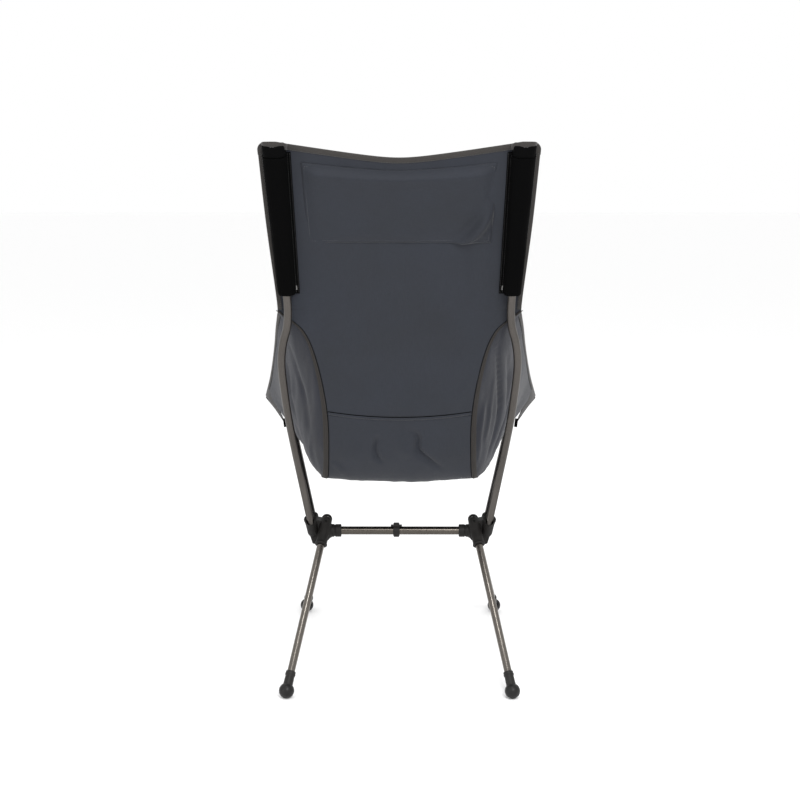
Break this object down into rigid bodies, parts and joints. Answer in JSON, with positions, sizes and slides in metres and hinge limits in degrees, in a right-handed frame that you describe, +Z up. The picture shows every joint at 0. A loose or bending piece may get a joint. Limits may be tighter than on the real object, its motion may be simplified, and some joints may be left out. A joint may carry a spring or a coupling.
{
  "type": "ultralight backpacking chair",
  "caption": "High-back ultralight camp chair: a sewn fabric sling hangs on a bent tube frame with nylon hubs, a crossbar, splayed pull-out legs and ball feet.",
  "frame": {"origin": "middle of the chair on the floor: centre of its bounding box in plan, at the underside of the feet", "axes": "+Z up, -Y the way the sitter faces, +X the sitter's left"},
  "size_m": [0.5814, 0.6949, 0.9755],
  "materials": {
    "pole_alloy": "satin, warm gunmetal anodised",
    "leg_alloy": "satin, warm gunmetal anodised",
    "crossbar_alloy": "satin, warm gunmetal anodised",
    "hub_nylon": "moulded, fine grained",
    "cap_plastic": "moulded",
    "foot_plastic": "moulded, fine grained",
    "foot_rubber": "satin",
    "clip_plastic": "moulded",
    "shock_cord": "braided elastic",
    "sling_fabric": "plain woven, faint sheen",
    "side_fabric": "plain woven, faint sheen",
    "hem_tape": "folded and stitched",
    "seam_tape": "woven tape, stitched",
    "sleeve_fabric": "dense webbing"
  },
  "bodies": {
    "frame": {"hub_left": "hub_nylon", "hub_right": "hub_nylon", "cord_knot_left": "shock_cord", "cord_knot_right": "shock_cord", "crossbar": "crossbar_alloy", "crossbar_cord": "shock_cord", "rear_pole_lower_left": "pole_alloy", "rear_pole_lower_right": "pole_alloy", "rear_pole_ferrule_left": "pole_alloy", "rear_pole_ferrule_right": "pole_alloy", "rear_pole_upper_left": "pole_alloy", "rear_pole_upper_right": "pole_alloy", "rear_pole_cap_left": "cap_plastic", "rear_pole_cap_right": "cap_plastic", "rear_pole_cord_left": "shock_cord", "rear_pole_cord_right": "shock_cord", "front_pole_left": "pole_alloy", "front_pole_right": "pole_alloy", "front_pole_cap_left": "cap_plastic", "front_pole_cap_right": "cap_plastic", "front_pole_cord_left": "shock_cord", "front_pole_cord_right": "shock_cord"},
    "leg_front_left": {"leg_tube_front_left": "leg_alloy", "foot_collar_front_left": "foot_plastic", "foot_ball_front_left": "foot_rubber", "leg_cord_front_left": "shock_cord"},
    "leg_front_right": {"leg_tube_front_right": "leg_alloy", "foot_collar_front_right": "foot_plastic", "foot_ball_front_right": "foot_rubber", "leg_cord_front_right": "shock_cord"},
    "leg_rear_left": {"leg_tube_rear_left": "leg_alloy", "foot_collar_rear_left": "foot_plastic", "foot_ball_rear_left": "foot_rubber", "leg_cord_rear_left": "shock_cord"},
    "leg_rear_right": {"leg_tube_rear_right": "leg_alloy", "foot_collar_rear_right": "foot_plastic", "foot_ball_rear_right": "foot_rubber", "leg_cord_rear_right": "shock_cord"},
    "clip": {"crossbar_clip": "clip_plastic"},
    "sling": {"back_panel": "sling_fabric", "seat_panel": "sling_fabric", "side_panel_left": "side_fabric", "side_panel_right": "side_fabric", "headrest_panel": "sling_fabric", "top_hem": "hem_tape", "front_hem": "hem_tape", "side_hem_left": "hem_tape", "side_hem_right": "hem_tape", "sleeve_left": "sleeve_fabric", "sleeve_right": "sleeve_fabric", "tip_pocket_left": "sleeve_fabric", "tip_pocket_right": "sleeve_fabric", "front_pocket_left": "side_fabric", "front_pocket_right": "side_fabric", "side_seam_tape_left": "seam_tape", "side_seam_tape_right": "seam_tape", "seat_seam_tape": "seam_tape"}
  },
  "joints": [
    {"name": "front_left_leg_pull", "type": "slide", "parent": "frame", "child": "leg_front_left", "axis": [0.168, -0.684, -0.7098], "range_m": [0, 0.045], "stiffness_N_per_m": 200, "springref_m": -0.05},
    {"name": "front_right_leg_pull", "type": "slide", "parent": "frame", "child": "leg_front_right", "axis": [-0.168, -0.684, -0.7098], "range_m": [0, 0.045], "stiffness_N_per_m": 200, "springref_m": -0.05},
    {"name": "rear_left_leg_pull", "type": "slide", "parent": "frame", "child": "leg_rear_left", "axis": [0.168, 0.684, -0.7098], "range_m": [0, 0.045], "stiffness_N_per_m": 200, "springref_m": -0.05},
    {"name": "rear_right_leg_pull", "type": "slide", "parent": "frame", "child": "leg_rear_right", "axis": [-0.168, 0.684, -0.7098], "range_m": [0, 0.045], "stiffness_N_per_m": 200, "springref_m": -0.05},
    {"name": "sling_lift", "type": "slide", "parent": "frame", "child": "sling", "axis": [0, 0.4027, 0.9153], "range_m": [0, 0.08]},
    {"name": "clip_slide", "type": "slide", "parent": "frame", "child": "clip", "axis": [1, 0, 0], "range_m": [-0.105, 0.09]}
  ]
}
